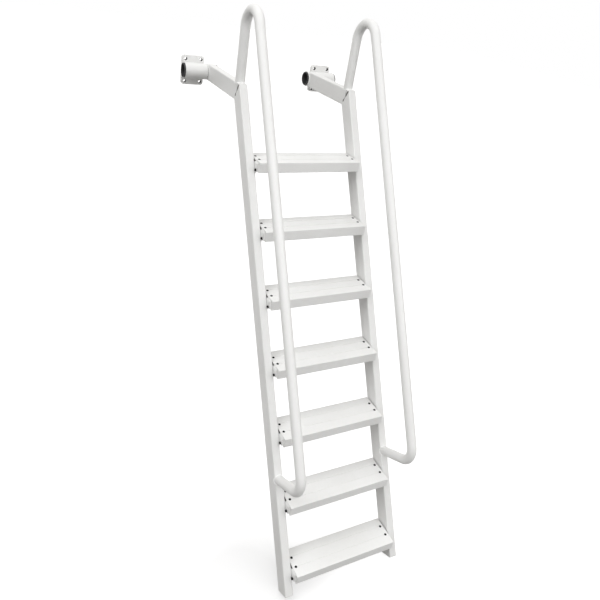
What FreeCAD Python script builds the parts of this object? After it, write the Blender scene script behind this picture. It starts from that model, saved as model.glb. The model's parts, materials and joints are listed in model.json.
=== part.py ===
import FreeCAD, Part
import math
import os

# Dock ladder that swings up on two bracketed pivots.
# Millimetres. X runs along the dock edge, Y points into the dock and Z is up.
# The origin is the middle of the left bracket's back face, which lies on the dock face.
# In use the stringers lean: their feet stand out over the water and their tops reach the dock.

# Treads
tread_count = 7
tread_rise = 254.0
tread_depth = 137.0
tread_plate = 5.0
nosing_height = 46.0
nosing_depth = 15.0
nosing_wall = 2.5
nosing_end_wall = 3.0
nosing_radius = 2.0
nosing_foot_radius = 4.0
rear_lip_height = 30.0
rear_lip_thickness = 4.0
groove_setbacks = [46.5, 96.5]
groove_width = 4.0
groove_depth = 2.0
tread_side_gap = 5.2
screw_setbacks = [47.0, 92.0]
screw_inset = 14.5
screw_hole_diameter = 5.5
screw_head_diameter = 9.4

# Stringers and arms, cut from one rectangular tube
lean_angle = 30.0
clear_width = 510.0
tube_width = 38.1
tube_depth = 76.2
tube_wall = 3.2
tube_corner = 6.0
nosing_lead = 48.5
foot_overhang = 93.0

# Pivots: a boss on each arm, a housing on each bracket and a sleeve through both
pivot_above_top_tread = 238.0
pivot_behind_top_nosing = 643.5
pivot_tube_diameter = 73.0
pivot_tube_wall = 3.05
boss_inboard = 4.0
knuckle_gap = 2.0
arm_end_short = 6.0
sleeve_clearance = 0.3
sleeve_wall = 4.0
sleeve_overhang = 6.5

# Brackets
bracket_width = 108.0
bracket_height = 136.0
bracket_plate = 16.5
bracket_corner = 13.0
bracket_edge_round = 1.5
bracket_neck_height = 34.0
bracket_neck_flare = 3.0
bracket_side_gap = 5.2
bracket_axis_setback = 54.5
bracket_axis_rise = 5.0
bracket_hole_diameter = 14.5
bracket_hole_spacing_x = 76.0
bracket_hole_spacing_z = 104.0

# Handrails
rail_diameter = 42.2
rail_wall = 3.56
rail_bend_radius = 76.0
rail_standoff = 218.0
rail_post_setback = 40.0
rail_end_above_foot = 501.0

# Cleats bolted to the stringers, and the spacer button in each one's lower front corner
cleat_thickness = 4.8
cleat_height = 53.0
cleat_ledge_width = 32.0
cleat_bend_radius = 11.0
cleat_fit = 0.5
cleat_corner_drop = 46.0
cleat_chamfer_length = 5.0
cleat_bolt_hole = 6.6
cleat_bolt_setbacks = [54.0, 100.0]
cleat_bolt_drop = 35.0
spacer_diameter = 11.5
spacer_thickness = 5.0
spacer_shank = 5.0
spacer_clearance = 0.25
spacer_setback = 25.5
spacer_drop = 39.0

# Foot caps
cap_flange = 4.0
cap_insert = 18.0
cap_wall = 2.5
cap_clearance = 0.3

# Places worked out from the sizes above
lean = math.radians(lean_angle)
axis_y = -bracket_axis_setback
axis_z = bracket_axis_rise
pivot_bore_radius = pivot_tube_diameter / 2 - pivot_tube_wall
top_nosing_y = axis_y - pivot_behind_top_nosing
top_nosing_z = axis_z - pivot_above_top_tread
left_outer_x = bracket_width / 2 + bracket_side_gap
left_inner_x = left_outer_x + tube_width
right_inner_x = left_inner_x + clear_width
right_outer_x = right_inner_x + tube_width
right_bracket_x = right_outer_x + bracket_side_gap + bracket_width / 2
tread_length = clear_width - 2 * tread_side_gap
tread_run = tread_rise * math.tan(lean)
arm_top_z = axis_z + tube_depth / 2
stringer_foot_s = -(tread_count - 1) * tread_rise / math.cos(lean) - foot_overhang

# Half of the space that a mitre's cutting block fills, larger than the ladder
REACH = 4000.0
# How far a cutting tool runs past the face it starts from
OVERCUT = 1.0
# The smallest inner corner of a tube or plug
SMALL_CORNER = 0.5
# Coordinates closer than this are the same
SAME = 0.01


def vec(x, y, z):
    return FreeCAD.Vector(x, y, z)


def box(x0, x1, y0, y1, z0, z1):
    return Part.makeBox(x1 - x0, y1 - y0, z1 - z0, vec(x0, y0, z0))


def x_cylinder(radius, x0, x1, y, z):
    return Part.makeCylinder(radius, x1 - x0, vec(x0, y, z), vec(1, 0, 0))


def z_hole(diameter, x, y, z0, z1):
    """Drill along Z from z0 to z1, running past both ends."""
    return Part.makeCylinder(diameter / 2, z1 - z0 + 2 * OVERCUT, vec(x, y, z0 - OVERCUT), vec(0, 0, 1))


def side_wire(points):
    """Closed wire in the YZ plane from (y, z) pairs."""
    corners = [vec(0, y, z) for y, z in points]
    return Part.makePolygon(corners + corners[:1])


def rounded_outline(half_a, half_b, radius):
    """Closed wire in the XY plane: a rectangle with round corners, centred on the origin."""
    arcs = []
    for sign_a, sign_b, start in [(1, 1, 0), (-1, 1, 90), (-1, -1, 180), (1, -1, 270)]:
        centre = vec(sign_a * (half_a - radius), sign_b * (half_b - radius), 0)
        arcs.append(Part.Arc(Part.Circle(centre, vec(0, 0, 1), radius),
                             math.radians(start), math.radians(start + 90)))
    edges = []
    for index, arc in enumerate(arcs):
        following = arcs[(index + 1) % len(arcs)]
        edges.append(arc.toShape())
        edges.append(Part.LineSegment(arc.EndPoint, following.StartPoint).toShape())
    return Part.Wire(edges)


def rounded_bar(half_a, half_b, radius, length):
    face = Part.Face(rounded_outline(half_a, half_b, radius))
    return face.extrude(vec(0, 0, length))


def tube_bar(length, wall):
    """The stringer's section less a wall all round, along Z and centred on the Z axis."""
    corner = max(tube_corner - wall, SMALL_CORNER)
    return rounded_bar(tube_width / 2 - wall, tube_depth / 2 - wall, corner, length)


def lean_back(shape):
    """Turn a shape from ladder coordinates (X, behind the nosing line, up the stringer) to the part."""
    shape.rotate(vec(0, 0, 0), vec(1, 0, 0), -lean_angle)
    shape.translate(vec(0, top_nosing_y, top_nosing_z))
    return shape


def leaned_point(x, behind, up):
    y = top_nosing_y + behind * math.cos(lean) + up * math.sin(lean)
    z = top_nosing_z - behind * math.sin(lean) + up * math.cos(lean)
    return vec(x, y, z)


def tread_origin(index):
    """Left end of a nosing's top edge; index 0 is the top tread."""
    return vec(left_inner_x + tread_side_gap, top_nosing_y - index * tread_run,
               top_nosing_z - index * tread_rise)


def cleat_bolt_places():
    """(y, z) of every cleat bolt on one stringer."""
    places = []
    for index in range(tread_count):
        origin = tread_origin(index)
        for setback in cleat_bolt_setbacks:
            places.append((origin.y + setback, origin.z - cleat_bolt_drop))
    return places


def mitre_corner():
    """Top front corner where the stringer's front face meets the arm's top face, as (y, z)."""
    rise = arm_top_z - top_nosing_z
    up = (rise + nosing_lead * math.sin(lean)) / math.cos(lean)
    corner = leaned_point(0, nosing_lead, up)
    return corner.y, corner.z


def mitre_tool(keep_arm):
    """A large block on one side of the mitre plane, which halves the angle of stringer and arm."""
    corner_y, corner_z = mitre_corner()
    normal = vec(0, math.sin(lean) + 1, math.cos(lean))
    tilt = math.degrees(math.atan2(normal.z, normal.y))
    if keep_arm:
        block = box(-REACH, REACH, -REACH, 0, -REACH, REACH)
    else:
        block = box(-REACH, REACH, 0, REACH, -REACH, REACH)
    block.rotate(vec(0, 0, 0), vec(1, 0, 0), tilt)
    block.translate(vec(0, corner_y, corner_z))
    return block


def stringer_bar(outer_x, wall):
    """The stringer's solid shape less a wall all round, cut at the mitre."""
    up_end = (arm_top_z - top_nosing_z) / math.cos(lean) + tube_depth
    bar = tube_bar(up_end - stringer_foot_s, wall)
    bar.translate(vec(outer_x + tube_width / 2, nosing_lead + tube_depth / 2, stringer_foot_s))
    return lean_back(bar).cut(mitre_tool(False))


def make_stringer(outer_x, inner_x):
    tube = stringer_bar(outer_x, 0).cut(stringer_bar(outer_x, tube_wall))
    x0 = inner_x - tube_wall - OVERCUT
    x1 = inner_x + tube_wall + OVERCUT
    for y, z in cleat_bolt_places():
        tube = tube.cut(x_cylinder(cleat_bolt_hole / 2, x0, x1, y, z))
    return tube


def arm_bar(outer_x, wall):
    """The arm's solid shape less a wall all round, cut at the mitre."""
    front = mitre_corner()[0] - tube_depth
    bar = tube_bar(axis_y - arm_end_short - front, wall)
    bar.rotate(vec(0, 0, 0), vec(1, 0, 0), -90)
    bar.translate(vec(outer_x + tube_width / 2, front, axis_z))
    return bar.cut(mitre_tool(True))


def make_arm(outer_x):
    tube = arm_bar(outer_x, 0).cut(arm_bar(outer_x, tube_wall))
    cope = x_cylinder(pivot_tube_diameter / 2, outer_x - OVERCUT, outer_x + tube_width + OVERCUT,
                      axis_y, axis_z)
    return tube.cut(cope)


def boss_ends(bracket_x, side):
    """Outboard and inboard ends of an arm's boss; side is 1 on the left and -1 on the right."""
    outboard = bracket_x + side * (bracket_width / 2 + knuckle_gap)
    inner_face = bracket_x + side * (bracket_width / 2 + bracket_side_gap + tube_width)
    return outboard, inner_face + side * boss_inboard


def make_boss(bracket_x, side):
    """Short tube across the end of the arm, which turns beside the bracket."""
    x0, x1 = sorted(boss_ends(bracket_x, side))
    outer = x_cylinder(pivot_tube_diameter / 2, x0, x1, axis_y, axis_z)
    inner = x_cylinder(pivot_bore_radius, x0 - OVERCUT, x1 + OVERCUT, axis_y, axis_z)
    return outer.cut(inner)


def make_sleeve(bracket_x, side):
    """Bearing sleeve through the housing and the boss, standing out of both ends."""
    outboard = bracket_x - side * (bracket_width / 2 + sleeve_overhang)
    inboard = boss_ends(bracket_x, side)[1] + side * sleeve_overhang
    x0, x1 = sorted((outboard, inboard))
    radius = pivot_bore_radius - sleeve_clearance
    outer = x_cylinder(radius, x0, x1, axis_y, axis_z)
    inner = x_cylinder(radius - sleeve_wall, x0 - OVERCUT, x1 + OVERCUT, axis_y, axis_z)
    return outer.cut(inner)


def bracket_body():
    """Plate with rounded front edges, and the housing on a neck that flares out to the plate."""
    half = bracket_width / 2
    plate = rounded_bar(half, bracket_height / 2, bracket_corner, bracket_plate)
    plate.rotate(vec(0, 0, 0), vec(1, 0, 0), 90)
    rim = []
    for edge in plate.Edges:
        if edge.BoundBox.YLength < SAME and abs(edge.CenterOfMass.y + bracket_plate) < SAME:
            rim.append(edge)
    plate = plate.makeFillet(bracket_edge_round, rim)
    housing = x_cylinder(pivot_tube_diameter / 2, -half, half, axis_y, axis_z)
    neck_half = bracket_neck_height / 2
    foot_half = neck_half + bracket_neck_flare
    inside = -bracket_plate / 2
    root = -bracket_plate - bracket_neck_flare
    neck = Part.Face(side_wire([
        (axis_y, axis_z - neck_half), (root, axis_z - neck_half), (-bracket_plate, axis_z - foot_half),
        (inside, axis_z - foot_half), (inside, axis_z + foot_half), (-bracket_plate, axis_z + foot_half),
        (root, axis_z + neck_half), (axis_y, axis_z + neck_half),
    ])).extrude(vec(bracket_width, 0, 0))
    neck.translate(vec(-half, 0, 0))
    return plate.fuse([housing, neck]).removeSplitter()


def make_bracket(centre_x):
    half = bracket_width / 2
    body = bracket_body()
    body = body.cut(x_cylinder(pivot_bore_radius, -half - OVERCUT, half + OVERCUT, axis_y, axis_z))
    for sign_x in (-1, 1):
        for sign_z in (-1, 1):
            start = vec(sign_x * bracket_hole_spacing_x / 2, OVERCUT, sign_z * bracket_hole_spacing_z / 2)
            body = body.cut(Part.makeCylinder(bracket_hole_diameter / 2, bracket_plate + 2 * OVERCUT,
                                              start, vec(0, -1, 0)))
    body.translate(vec(centre_x, 0, 0))
    return body


def rail_path(x):
    """Centre line: up from the arm, over a bend, down beside the stringer and back to its face.

    Both ends run on past the tube's face by its corner radius, for the saddle cuts.
    """
    post_y = mitre_corner()[0] + rail_post_setback
    radius = rail_bend_radius
    front = nosing_lead - rail_standoff
    down = vec(0, -math.sin(lean), -math.cos(lean))
    inward = vec(0, math.cos(lean), -math.sin(lean))
    line_point = leaned_point(x, front, 0)
    # The top bend touches the post and the front run.
    centre_y = post_y - radius
    offset = (centre_y - line_point.y) * inward.y
    centre_z = line_point.z + (radius - offset) / inward.z
    top_centre = vec(x, centre_y, centre_z)
    post_foot = vec(x, post_y, arm_top_z - tube_corner)
    post_top = vec(x, post_y, centre_z)
    front_top = top_centre - inward * radius
    mid_angle = (math.pi - lean) / 2
    crown = top_centre + vec(0, math.cos(mid_angle), math.sin(mid_angle)) * radius
    # The lower bend turns square to the stringer.
    end_up = stringer_foot_s + rail_end_above_foot
    end_point = leaned_point(x, nosing_lead + tube_corner, end_up)
    turn_corner = leaned_point(x, front, end_up)
    low_centre = turn_corner - down * radius + inward * radius
    front_low = turn_corner - down * radius
    return_start = turn_corner + inward * radius
    elbow = low_centre + (down - inward) * (radius / math.sqrt(2))
    edges = [
        Part.LineSegment(post_foot, post_top).toShape(),
        Part.Arc(post_top, crown, front_top).toShape(),
        Part.LineSegment(front_top, front_low).toShape(),
        Part.Arc(front_low, elbow, return_start).toShape(),
        Part.LineSegment(return_start, end_point).toShape(),
    ]
    return Part.Wire(edges)


def make_handrail(outer_x):
    """Bent pipe whose ends are cut to sit on the arm's top and the stringer's front."""
    path = rail_path(outer_x + tube_width / 2)
    start = path.Vertexes[0].Point
    solids = []
    for radius in (rail_diameter / 2, rail_diameter / 2 - rail_wall):
        ring = Part.Wire(Part.makeCircle(radius, start, vec(0, 0, 1)))
        solids.append(path.makePipeShell([ring], True, True))
    pipe = solids[0].cut(solids[1])
    return pipe.cut(arm_bar(outer_x, 0)).cut(stringer_bar(outer_x, 0))


def tread_blank():
    """The bent plank, its nosing still solid; the nosing's top edge is at y 0, z 0."""
    rear = tread_depth - rear_lip_thickness
    outline = side_wire([
        (0, 0), (0, -nosing_height), (nosing_depth, -nosing_height), (nosing_depth, -tread_plate),
        (rear, -tread_plate), (rear, -rear_lip_height), (tread_depth, -rear_lip_height),
        (tread_depth, 0),
    ])
    return Part.Face(outline).extrude(vec(tread_length, 0, 0))


def tread_edge(tread, y, z):
    """The edges of a tread that run along X at y and z."""
    found = []
    for edge in tread.Edges:
        middle = edge.CenterOfMass
        if edge.BoundBox.XLength > tread_length / 2 and max(abs(middle.y - y), abs(middle.z - z)) < SAME:
            found.append(edge)
    return found


def countersink(x, y):
    """Cone for a flat screw head, flush with z 0."""
    depth = (screw_head_diameter - screw_hole_diameter) / 2
    head = screw_head_diameter / 2
    return Part.makeCone(head + OVERCUT, head - depth, depth + OVERCUT, vec(x, y, OVERCUT), vec(0, 0, -1))


def make_tread(index):
    """Plank whose nosing is a box with closed ends."""
    tread = tread_blank()
    tread = tread.makeFillet(nosing_radius, tread_edge(tread, 0, 0) + tread_edge(tread, tread_depth, 0))
    tread = tread.makeFillet(nosing_foot_radius, tread_edge(tread, 0, -nosing_height))
    tread = tread.cut(box(nosing_end_wall, tread_length - nosing_end_wall, nosing_wall,
                          nosing_depth - nosing_wall, nosing_wall - nosing_height, -tread_plate))
    for setback in groove_setbacks:
        tread = tread.cut(box(-OVERCUT, tread_length + OVERCUT, setback - groove_width / 2,
                              setback + groove_width / 2, -groove_depth, OVERCUT))
    for setback in screw_setbacks:
        for x in (screw_inset, tread_length - screw_inset):
            tread = tread.cut(z_hole(screw_hole_diameter, x, setback, -tread_plate, 0))
            tread = tread.cut(countersink(x, setback))
    tread.translate(tread_origin(index))
    return tread


def cleat_section():
    """End view of the folded angle in the XZ plane: leg at x 0, ledge's top at z 0."""
    outer = cleat_bend_radius
    inner = outer - cleat_thickness
    width = tread_side_gap + cleat_ledge_width
    diagonal = math.sqrt(0.5)
    corners = [vec(0, 0, -cleat_height), vec(0, 0, -outer), vec(outer, 0, 0), vec(width, 0, 0),
               vec(width, 0, -cleat_thickness), vec(outer, 0, -cleat_thickness),
               vec(cleat_thickness, 0, -outer), vec(cleat_thickness, 0, -cleat_height)]
    outer_middle = vec(outer - outer * diagonal, 0, outer * diagonal - outer)
    inner_middle = vec(outer - inner * diagonal, 0, inner * diagonal - outer)
    edges = []
    for index, start in enumerate(corners):
        end = corners[(index + 1) % len(corners)]
        if index == 1:
            edges.append(Part.Arc(start, outer_middle, end).toShape())
        elif index == 5:
            edges.append(Part.Arc(start, inner_middle, end).toShape())
        else:
            edges.append(Part.LineSegment(start, end).toShape())
    return Part.Face(Part.Wire(edges))


def cleat_body():
    """Folded angle whose leg lies on the stringer and whose ledge is screwed up under the plate."""
    front = nosing_depth + cleat_fit
    back = tread_depth - rear_lip_thickness - cleat_fit
    top = -tread_plate
    low = top - cleat_height
    step_y = spacer_setback + spacer_diameter / 2
    cleat = cleat_section().extrude(vec(0, back - front, 0))
    cleat.translate(vec(0, front, top))
    corner = side_wire([
        (front - OVERCUT, -cleat_corner_drop), (step_y, -cleat_corner_drop),
        (step_y + cleat_chamfer_length, low), (step_y + cleat_chamfer_length, low - OVERCUT),
        (front - OVERCUT, low - OVERCUT),
    ])
    cleat = cleat.cut(Part.Face(corner).extrude(vec(cleat_thickness, 0, 0)))
    cleat.translate(vec(-tread_side_gap, 0, 0))
    return cleat


def make_cleat(index, left):
    cleat = cleat_body()
    ledge_top = -tread_plate
    for setback in screw_setbacks:
        cleat = cleat.cut(z_hole(screw_hole_diameter, screw_inset, setback, ledge_top - cleat_thickness,
                                 ledge_top))
    x0 = -tread_side_gap - OVERCUT
    x1 = -tread_side_gap + cleat_thickness + OVERCUT
    for setback in cleat_bolt_setbacks:
        cleat = cleat.cut(x_cylinder(cleat_bolt_hole / 2, x0, x1, setback, -cleat_bolt_drop))
    cleat = cleat.cut(x_cylinder(spacer_shank / 2 + spacer_clearance, x0, x1, spacer_setback, -spacer_drop))
    if not left:
        cleat = cleat.mirror(vec(0, 0, 0), vec(1, 0, 0))
        cleat.translate(vec(tread_length, 0, 0))
    cleat.translate(tread_origin(index))
    return cleat


def make_spacers(inner_x, side):
    """The buttons on one stringer's cleats: a head outside each leg and a shank through it."""
    buttons = []
    head_x = sorted((inner_x - side * spacer_thickness, inner_x))
    shank_x = sorted((inner_x - side * spacer_thickness, inner_x + side * cleat_thickness))
    for index in range(tread_count):
        origin = tread_origin(index)
        y = origin.y + spacer_setback
        z = origin.z - spacer_drop
        head = x_cylinder(spacer_diameter / 2, head_x[0], head_x[1], y, z)
        shank = x_cylinder(spacer_shank / 2, shank_x[0], shank_x[1], y, z)
        buttons.append(head.fuse(shank).removeSplitter())
    return Part.makeCompound(buttons)


def make_foot_cap(outer_x):
    """Plug in the open lower end of a stringer, with a flange as large as the tube."""
    fit = tube_wall + cap_clearance
    flange = tube_bar(cap_flange, 0)
    insert = tube_bar(cap_insert + cap_flange, fit)
    pocket = tube_bar(cap_insert + OVERCUT, fit + cap_wall)
    pocket.translate(vec(0, 0, cap_flange))
    cap = flange.fuse(insert).removeSplitter().cut(pocket)
    cap.translate(vec(outer_x + tube_width / 2, nosing_lead + tube_depth / 2,
                      stringer_foot_s - cap_flange))
    return lean_back(cap)


def build():
    nodes = {}
    sides = [
        ("left", 1, 0, left_outer_x, left_inner_x),
        ("right", -1, right_bracket_x, right_inner_x, right_inner_x),
    ]
    for name, side, bracket_x, tube_x, inner_x in sides:
        nodes[name + "_bracket"] = make_bracket(bracket_x)
        nodes[name + "_pivot_tube"] = make_boss(bracket_x, side)
        nodes[name + "_pivot_sleeve"] = make_sleeve(bracket_x, side)
        nodes[name + "_arm"] = make_arm(tube_x)
        nodes[name + "_stringer"] = make_stringer(tube_x, inner_x)
        nodes[name + "_handrail"] = make_handrail(tube_x)
        nodes[name + "_foot_cap"] = make_foot_cap(tube_x)
        nodes[name + "_spacers"] = make_spacers(inner_x, side)
    for index in range(tread_count):
        number = str(index + 1)
        nodes["tread_" + number] = make_tread(index)
        nodes["left_cleat_" + number] = make_cleat(index, True)
        nodes["right_cleat_" + number] = make_cleat(index, False)
    return nodes


os.makedirs("parts", exist_ok=True)
for node_name, node_shape in build().items():
    node_shape.exportStep("parts/" + node_name + ".step")
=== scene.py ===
import json
import math

import bpy
from mathutils import Matrix, Vector


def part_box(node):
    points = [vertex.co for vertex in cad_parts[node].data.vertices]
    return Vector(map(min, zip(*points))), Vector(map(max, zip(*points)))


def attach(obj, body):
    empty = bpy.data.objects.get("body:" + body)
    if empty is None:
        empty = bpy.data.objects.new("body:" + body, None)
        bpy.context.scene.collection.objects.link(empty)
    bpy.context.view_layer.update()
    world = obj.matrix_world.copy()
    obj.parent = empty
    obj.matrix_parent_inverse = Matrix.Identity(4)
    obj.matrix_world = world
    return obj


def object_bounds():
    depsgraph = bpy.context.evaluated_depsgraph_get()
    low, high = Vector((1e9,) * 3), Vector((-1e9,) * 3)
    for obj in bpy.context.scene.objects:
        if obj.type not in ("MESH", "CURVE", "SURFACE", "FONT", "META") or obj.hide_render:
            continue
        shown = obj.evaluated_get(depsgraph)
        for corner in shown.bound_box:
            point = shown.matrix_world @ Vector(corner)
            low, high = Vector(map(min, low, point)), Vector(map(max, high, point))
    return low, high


bl_info = {
    "name": "Dock ladder finish",
    "version": (1, 0, 0),
    "blender": (4, 5, 0),
    "location": "3D View > Sidebar > Dock ladder",
    "description": "Powder coat, fasteners, welds, camera and studio of a swing-up dock ladder",
    "category": "Object",
}

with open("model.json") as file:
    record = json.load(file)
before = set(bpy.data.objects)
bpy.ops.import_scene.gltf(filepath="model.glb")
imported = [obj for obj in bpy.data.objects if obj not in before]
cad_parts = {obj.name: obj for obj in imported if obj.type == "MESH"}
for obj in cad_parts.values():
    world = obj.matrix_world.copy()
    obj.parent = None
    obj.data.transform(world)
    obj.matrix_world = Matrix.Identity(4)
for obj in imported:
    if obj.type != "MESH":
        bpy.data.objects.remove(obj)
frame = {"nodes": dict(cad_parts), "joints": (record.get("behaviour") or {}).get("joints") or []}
NODES = frame["nodes"]
CAD_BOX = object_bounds()
MM = 0.001
PHOTO_SIDE = 600
SENSOR_WIDTH = 36.0
CAMERA_REACH = 100.0

# Places read from the frame
TREADS = sorted(name for name in NODES if name.startswith("tread_"))
CLEATS = sorted(name for name in NODES if "_cleat_" in name)
TOP_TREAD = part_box(TREADS[0])
LOW_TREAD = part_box(TREADS[-1])
TOP_CORNER = Vector((TOP_TREAD[0].x, TOP_TREAD[0].y, TOP_TREAD[1].z))
TREAD_DEPTH = TOP_TREAD[1].y - TOP_TREAD[0].y
TREAD_REACH = 0.4  # Share of the rise above a tread that still belongs to it
LEAN = math.atan2(TOP_TREAD[0].y - LOW_TREAD[0].y, TOP_TREAD[1].z - LOW_TREAD[1].z)
INTO_STRINGER = Vector((0.0, math.cos(LEAN), -math.sin(LEAN)))
PIVOT = Vector(frame["joints"][0]["pos_m"])
ARM_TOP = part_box("left_arm")[1].z
BOSS_RADIUS = (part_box("left_pivot_tube")[1].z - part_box("left_pivot_tube")[0].z) / 2
TUBE_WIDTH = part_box("left_arm")[1].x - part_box("left_arm")[0].x
TUBE_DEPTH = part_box("left_arm")[1].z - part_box("left_arm")[0].z
RAIL_RADIUS = (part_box("left_handrail")[1].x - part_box("left_handrail")[0].x) / 2
SIDES = ("left", "right")

# Small shapes of the fasteners
SHANK_LENGTH = 18.0 * MM
SHANK_BEVEL = 0.6 * MM
HEAD_LIFT = 0.02 * MM
HEAD_ROUNDING = 0.5
SOCKET_RADIUS = 1.9 * MM
SOCKET_DEPTH = 1.2 * MM
SOCKET_OVERCUT = 2.0 * MM
NUT_HEIGHT = 5.0 * MM
NUT_BEVEL = 0.4 * MM
COLLAR_INSET = 0.7 * MM
COLLAR_HEIGHT = 1.2 * MM
BOLT_HEAD_HEIGHT = 4.0 * MM
BOLT_HEAD_BEVEL = 0.7 * MM
WASHER_BEVEL = 0.3 * MM
ROUND_SIDES = 24
SMOOTHING = 35.0
LEVEL_FACE = 0.9  # Least vertical part of the normal of a face that counts as level

# Turns of the screws, so that neighbouring sockets don't look alike
TURN_PER_SCREW = 0.5
TURN_PER_TREAD = 0.7

# Weld beads; what stands out or ripples is in shares of the bead's own radius
BEAD_SIDES = 8
BEAD_SMOOTHING = 60.0
RAIL_BEAD_SECTIONS = 40
RAIL_BEAD_OUT = 0.3
RAIL_BEAD_RIPPLE = 0.12
BOSS_BEAD_SECTIONS = 56
BOSS_BEAD_OUT = 0.2
BOSS_BEAD_CUT = -4.0 * MM

# Share of the slow noise in the tone drift, and how much paler or darker a worn patch is
SLOW_SHARE = 0.7
NYLON_SCUFF = 2.2
STEEL_RUB = 2.5
PLASTIC_SHADE = 0.95

# Low and high end of each mask's soft edge
DRIFT_EDGE = (0.35, 0.65)
# Painted shade goes on cleat faces whose normal points up this much, in the gap beside a tread
GAP_SHADE_FACING = (0.3, 0.7)
LEFT_GAP_START = (0.34 * TREAD_DEPTH, 0.38 * TREAD_DEPTH)
# Back part of each tread, which darkens with painted shade towards its back edge
REAR_SHADE_PART = (0.68 * TREAD_DEPTH, TREAD_DEPTH)
# Ring of painted shade round the bracket holes, beyond their radius
HOLE_SHADE_EDGE = (0.3 * MM, 0.9 * MM)
SEAM_EDGE = (0.8, 1.2)
SIDE_FACING = (0.85, 0.97)

# Share of the seam's width, from the mitre's front corner to its back corner
SEAM_STOPS = ((0.0, 0.5), (0.04, 1.0), (0.38, 1.0), (0.45, 0.35), (0.60, 0.35), (0.64, 0.9),
              (0.74, 0.9), (0.80, 0.0))
CRACK_STOPS = ((0.06, 0.0), (0.10, 0.45), (0.36, 0.45), (0.42, 0.0))
CRACK_END = 0.42
SEAM_WANDER = 0.002
SEAM_WANDER_SCALE = 120.0
LEAST_HALF_WIDTH = 0.00001

# Colours of the studio
WHITE = (1.0, 1.0, 1.0)
WARM_HORIZON = (1.0, 0.955, 0.86)
FLOOR_COLOUR = (0.494, 0.494, 0.498)
BOUNCE_TINT = (1.0, 0.94, 0.84)
SHADOW_FADE = 3.0


def length_property(name, about, default, **limits):
    return bpy.props.FloatProperty(name=name, description=about, default=default,
                                   unit="LENGTH", **limits)


def power_property(name, about, default):
    return bpy.props.FloatProperty(name=name, description=about, default=default, min=0.0,
                                   unit="POWER")


def share_property(name, about, default):
    return bpy.props.FloatProperty(name=name, description=about, default=default, min=0.0, max=1.0)


def gain_property(name, about, default):
    return bpy.props.FloatProperty(name=name, description=about, default=default, min=0.0)


def angle_property(name, about, default):
    return bpy.props.FloatProperty(name=name, description=about, default=default, subtype="ANGLE")


def pair_property(name, about, default):
    return bpy.props.FloatVectorProperty(name=name, description=about, default=default, size=2,
                                         unit="LENGTH")


def place_property(name, about, default):
    return bpy.props.FloatVectorProperty(name=name, description=about, default=default, size=3,
                                         subtype="TRANSLATION", unit="LENGTH")


def colour_property(name, about, default):
    return bpy.props.FloatVectorProperty(name=name, description=about, default=default, size=3,
                                         subtype="COLOR", min=0.0, max=1.0)


class FastenerSettings(bpy.types.PropertyGroup):
    """Places and sizes of the screws, bolts and washers."""

    screw_inset: length_property("Screw inset", "From a tread's end to its screws", 0.0145)
    screw_setbacks: pair_property("Screw setbacks", "From the nosing to each screw", (0.047, 0.092))
    screw_radius: length_property("Screw radius", "Radius of the screws' shanks", 0.0025)
    head_radius: length_property("Screw head radius", "Radius of the screws' round heads", 0.0056)
    cone_radius: length_property(
        "Cone radius", "Radius of the cone under the head, in the countersink", 0.00462, min=0.001)
    head_height: length_property("Screw head height", "Height of the heads above the tread", 0.0012)
    bolt_setbacks: pair_property(
        "Bolt setbacks", "From the nosing to each bolt through a cleat", (0.054, 0.100))
    bolt_drop: length_property("Bolt drop", "From a tread's top down to its bolts", 0.035)
    bolt_radius: length_property("Bolt radius", "Radius of the bolts' shanks", 0.003)
    across_flats: length_property("Across flats", "Width of hex heads and nuts", 0.010)
    washer_radius: length_property("Washer radius", "Outer radius of the washers", 0.006)
    washer_thickness: length_property("Washer thickness", "Thickness of the washers", 0.0016)
    cleat_thickness: length_property(
        "Cleat thickness", "Thickness of a cleat's leg and ledge", 0.0048)
    colour: colour_property(
        "Fastener colour", "Blackened steel of the fasteners", (0.012, 0.012, 0.013))


class WeldSettings(bpy.types.PropertyGroup):
    """Beads where pipes and tubes are welded together."""

    bead_radius: length_property("Bead radius", "Radius of a weld bead's section", 0.0018)
    corner_radius: length_property("Tube corner", "Corner radius of the rectangular tube", 0.006)
    seam_width: length_property(
        "Seam width", "Widest part of the dark line along the mitre", 0.0085)
    seam_colour: colour_property(
        "Seam colour", "Shadowed bottom of the mitre's seam", (0.05, 0.048, 0.045))


class CoatSettings(bpy.types.PropertyGroup):
    """Colours and texture of the powder coat and the plastic."""

    colour: colour_property("Coat colour", "Main colour of the powder coat", (0.86, 0.86, 0.855))
    shade: colour_property(
        "Coat drift", "Slightly darker tone that the coat drifts to", (0.838, 0.837, 0.829))
    roughness: share_property("Coat roughness", "Roughness of the coat's surface", 0.42)
    roughness_spread: share_property(
        "Roughness spread", "How far the coat's roughness drifts either way", 0.04)
    peel_height: length_property(
        "Peel height", "Height of the orange-peel texture", 0.00005, min=0.0, precision=6)
    # Near-black painted shade inside the brackets' bolt holes and in a thin ring round them
    hole_shade_colour: colour_property(
        "Hole colour", "Uncoated dark inside of the brackets' bolt holes", (0.02, 0.02, 0.02))
    # Colour of the painted shade in the gaps beside the treads and at the treads' back edges
    painted_shade_colour: colour_property(
        "Grime colour", "Dirt that settles in the gaps beside the treads", (0.03, 0.028, 0.025))
    # Share of painted shade at the treads' back edges
    rear_shade_share: share_property("Rear dulling", "Share of grime at the treads' back edges", 0.12)
    hole_radius: length_property("Hole radius", "Radius of the brackets' bolt holes", 0.00725)
    hole_spacing: pair_property("Hole spacing", "Between bolt holes, across and up", (0.076, 0.104))
    sleeve_colour: colour_property(
        "Sleeve colour", "Worn dark nylon of the pivots' sleeves", (0.03, 0.03, 0.031))
    button_colour: colour_property(
        "Button colour", "Black nylon of the buttons on the cleats", (0.006, 0.006, 0.006))
    cap_colour: colour_property(
        "Cap colour", "Moulded plastic of the foot caps", (0.80, 0.80, 0.785))


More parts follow.
